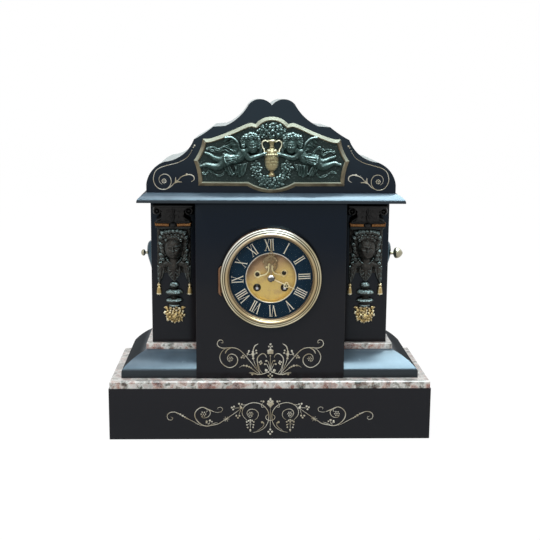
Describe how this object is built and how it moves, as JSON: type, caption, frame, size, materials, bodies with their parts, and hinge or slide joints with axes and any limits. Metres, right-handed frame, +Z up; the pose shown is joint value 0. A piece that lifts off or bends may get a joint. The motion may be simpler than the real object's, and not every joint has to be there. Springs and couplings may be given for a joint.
{
  "type": "mantel clock",
  "caption": "Slate and marble pendulum mantel clock with a lobed pediment, relief plaque, mask mounts, glazed dial door and a striking movement.",
  "frame": {"origin": "on the ground under the centre of the base", "axes": "+Z up, +X to the right as seen from the front; the dial faces -Y"},
  "size_m": [0.46, 0.189, 0.481],
  "materials": {
    "slate": "polished black slate",
    "marble": "polished, mottled red, grey and white",
    "bronze": "dark green patinated bronze",
    "gilt": "worn gilding",
    "brass": "lacquered brass",
    "bell_metal": "turned bell metal",
    "steel": "polished steel",
    "glass": "clear bevelled glass",
    "wood": "plain board"
  },
  "bodies": {
    "case": {"base_board": "wood", "plinth_front": "slate", "plinth_back": "slate", "plinth_ends": "slate", "marble_base": "marble", "cushion_left": "slate", "cushion_right": "slate", "marble_steps": "marble", "wing_panels": "slate", "side_panels": "slate", "back_panel": "slate", "centre_panel": "slate", "centre_cheeks": "slate", "cornice": "slate", "pediment_front": "slate", "pediment_body": "slate", "plaque_frame": "gilt", "plaque_panel": "bronze", "putto_left": "bronze", "putto_right": "bronze", "plaque_urn": "gilt", "plaque_flowers": "bronze", "mask_mount_left": "bronze", "mask_mount_right": "bronze", "mount_gilding_left": "gilt", "mount_gilding_right": "gilt", "side_handles": "bronze", "dial_seat": "brass", "chapter_ring": "slate", "hour_numerals": "gilt", "centre_plate": "brass", "escapement_bridge": "brass", "front_plate": "brass", "back_plate": "brass", "plate_pillars": "brass", "fixing_straps": "steel", "rear_ring": "brass", "suspension_cock": "brass", "bell": "bell_metal", "bell_stand": "brass"},
    "front_door": {"bezel": "brass", "bezel_glass": "glass", "sight_ring": "brass"},
    "rear_door": {"rear_door": "brass"},
    "minute_work": {"centre_wheel": "brass", "minute_hand": "gilt"},
    "hour_work": {"hour_wheel": "brass", "hour_hand": "gilt"},
    "minute_wheel": {"minute_wheel": "brass"},
    "intermediate_wheel": {"intermediate_wheel": "brass"},
    "third_wheel": {"third_wheel": "steel"},
    "escape_wheel": {"escape_wheel": "brass"},
    "going_barrel": {"going_barrel": "brass"},
    "strike_barrel": {"strike_barrel": "brass"},
    "going_arbor": {"going_arbor": "steel"},
    "strike_arbor": {"strike_arbor": "steel"},
    "pallets": {"anchor": "steel"},
    "pendulum": {"pendulum_rod": "steel", "pendulum_bob": "brass"},
    "hammer": {"hammer": "steel"}
  },
  "joints": [
    {"name": "front_door_hinge", "type": "hinge", "parent": "case", "child": "front_door", "pos_m": [-0.0722, -0.0822, 0.233], "axis": [0, 0, -1], "range_deg": [0, 105]},
    {"name": "rear_door_hinge", "type": "hinge", "parent": "case", "child": "rear_door", "pos_m": [0.0635, 0.0919, 0.233], "axis": [0, 0, -1], "range_deg": [0, 100]},
    {"name": "minute_hand_turn", "type": "hinge", "parent": "case", "child": "minute_work", "pos_m": [0, 0, 0.233], "axis": [0, 1, 0], "continuous": true},
    {"name": "hour_hand_turn", "type": "hinge", "parent": "case", "child": "hour_work", "pos_m": [0, 0, 0.233], "axis": [0, 1, 0], "continuous": true},
    {"name": "minute_wheel_turn", "type": "hinge", "parent": "case", "child": "minute_wheel", "pos_m": [0, 0, 0.2234], "axis": [0, 1, 0], "continuous": true},
    {"name": "intermediate_wheel_turn", "type": "hinge", "parent": "case", "child": "intermediate_wheel", "pos_m": [0.01727, 0, 0.23948], "axis": [0, 1, 0], "continuous": true},
    {"name": "third_wheel_turn", "type": "hinge", "parent": "case", "child": "third_wheel", "pos_m": [-0.01345, 0, 0.24235], "axis": [0, 1, 0], "continuous": true},
    {"name": "escape_wheel_turn", "type": "hinge", "parent": "case", "child": "escape_wheel", "pos_m": [0, 0, 0.25], "axis": [0, 1, 0], "continuous": true},
    {"name": "going_barrel_turn", "type": "hinge", "parent": "case", "child": "going_barrel", "pos_m": [0.0195, 0, 0.218], "axis": [0, 1, 0], "continuous": true},
    {"name": "strike_barrel_turn", "type": "hinge", "parent": "case", "child": "strike_barrel", "pos_m": [-0.0195, 0, 0.218], "axis": [0, 1, 0], "continuous": true},
    {"name": "going_arbor_wind", "type": "hinge", "parent": "case", "child": "going_arbor", "pos_m": [0.0195, 0, 0.218], "axis": [0, 1, 0], "continuous": true},
    {"name": "strike_arbor_wind", "type": "hinge", "parent": "case", "child": "strike_arbor", "pos_m": [-0.0195, 0, 0.218], "axis": [0, 1, 0], "continuous": true},
    {"name": "pendulum_swing", "type": "hinge", "parent": "case", "child": "pendulum", "pos_m": [0, 0, 0.264], "axis": [0, 1, 0], "range_deg": [-2.5, 2.5]},
    {"name": "pallet_rock", "type": "hinge", "parent": "case", "child": "pallets", "pos_m": [0, 0, 0.264], "axis": [0, 1, 0], "range_deg": [-2.5, 2.5]},
    {"name": "hammer_lift", "type": "hinge", "parent": "case", "child": "hammer", "pos_m": [-0.0405, 0, 0.221], "axis": [0, -1, 0], "range_deg": [0, 12]}
  ],
  "couplings": [
    {"joint": "hour_hand_turn", "follows": "minute_hand_turn", "ratio": 0.083333},
    {"joint": "minute_wheel_turn", "follows": "minute_hand_turn", "ratio": -0.33333},
    {"joint": "intermediate_wheel_turn", "follows": "minute_hand_turn", "ratio": -0.13889},
    {"joint": "going_barrel_turn", "follows": "minute_hand_turn", "ratio": 0.019841},
    {"joint": "third_wheel_turn", "follows": "minute_hand_turn", "ratio": -12},
    {"joint": "escape_wheel_turn", "follows": "minute_hand_turn", "ratio": 144},
    {"joint": "pallet_rock", "follows": "pendulum_swing", "ratio": 1}
  ]
}
